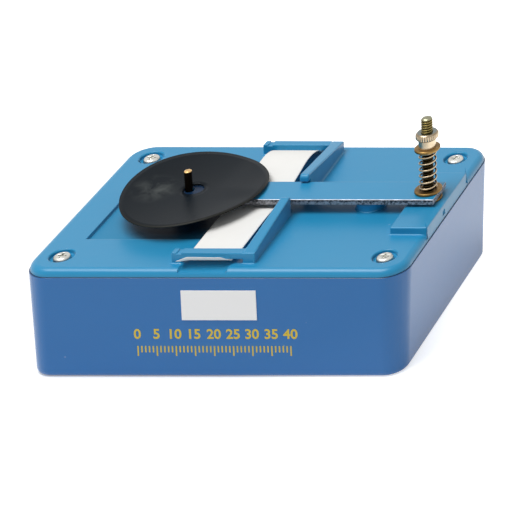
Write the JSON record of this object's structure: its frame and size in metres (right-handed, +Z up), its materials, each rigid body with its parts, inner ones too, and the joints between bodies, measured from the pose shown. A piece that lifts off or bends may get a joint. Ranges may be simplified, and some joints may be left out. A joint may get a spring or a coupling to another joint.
{
  "type": "ticker timer",
  "caption": "Mains-frequency ticker timer for dynamics lessons: a plastic case with a sprung vibrating strip, an adjusting stud and nut, a loose carbon disc on a pin and guides for paper tape.",
  "frame": {"origin": "centre of the case's flat underside, at the rim's outline centre", "axes": "+X right, towards the adjusting stud; -Y front, the side with the label; +Z up"},
  "size_m": [0.1, 0.0682, 0.0552],
  "materials": {
    "base_plastic": "glossy moulded",
    "label_paper": "matt paper",
    "lid_plastic": "satin moulded",
    "plated_steel": "zinc plated",
    "passivated_steel": "yellow passivated",
    "washer_brass": "dull",
    "strip_steel": "bright rolled",
    "spring_steel": "plated wire",
    "nickel": "nickel plated, knurled",
    "pin_brass": "turned",
    "carbon_paper": "matt, smudged",
    "tape_paper": "matt paper",
    "bobbin_plastic": "moulded",
    "enamelled_copper": "enamelled wire",
    "tinned_brass": "tinned",
    "soft_iron": "turned",
    "magnet": "sintered",
    "bracket_steel": "zinc plated",
    "socket_plastic": "moulded",
    "socket_metal": "nickel plated",
    "red_pvc": "sleeving",
    "black_pvc": "sleeving"
  },
  "bodies": {
    "case": {"case_base": "base_plastic", "front_label": "label_paper", "case_lid": "lid_plastic", "lid_screws": "plated_steel", "adjuster_stud": "passivated_steel", "pivot_washer": "washer_brass", "disc_pin": "pin_brass", "coil_bobbin": "bobbin_plastic", "coil_winding": "enamelled_copper", "coil_tags": "tinned_brass", "pole_core": "soft_iron", "bias_magnet": "magnet", "coil_bracket": "bracket_steel", "bracket_screws": "plated_steel", "socket_left": "socket_plastic", "socket_right": "socket_plastic", "sleeve_left": "socket_metal", "sleeve_right": "socket_metal", "socket_nuts": "plated_steel", "socket_tags": "tinned_brass", "lead_left": "red_pvc", "lead_right": "black_pvc"},
    "armature": {"armature_strip": "strip_steel", "striker": "strip_steel", "lower_washer": "washer_brass"},
    "adjuster": {"upper_washer": "washer_brass", "adjusting_spring": "spring_steel"},
    "nut": {"thumb_nut": "nickel"},
    "disc": {"carbon_disc": "carbon_paper"},
    "tape": {"paper_tape": "tape_paper"}
  },
  "joints": [
    {"name": "armature_rock", "type": "hinge", "parent": "case", "child": "armature", "pos_m": [0.0445, 0, 0.0326], "axis": [0, 1, 0], "range_deg": [-1, 0.4], "stiffness_Nm_per_rad": 3},
    {"name": "nut_travel", "type": "slide", "parent": "case", "child": "adjuster", "axis": [0, 0, 1], "range_m": [-0.001, 0.001], "deforming": ["adjusting_spring"]},
    {"name": "nut_turn", "type": "hinge", "parent": "adjuster", "child": "nut", "pos_m": [0.0445, 0, 0.048], "axis": [0, 0, 1], "range_deg": [-725, 725]},
    {"name": "disc_spin", "type": "hinge", "parent": "case", "child": "disc", "pos_m": [-0.01895, -0.0004, 0.0348], "axis": [0, 0, 1], "continuous": true},
    {"name": "tape_pull", "type": "slide", "parent": "case", "child": "tape", "axis": [0, -1, 0], "range_m": [0, 0.02]}
  ],
  "couplings": [
    {"joint": "nut_turn", "follows": "nut_travel", "rad_per_m": 12566}
  ]
}
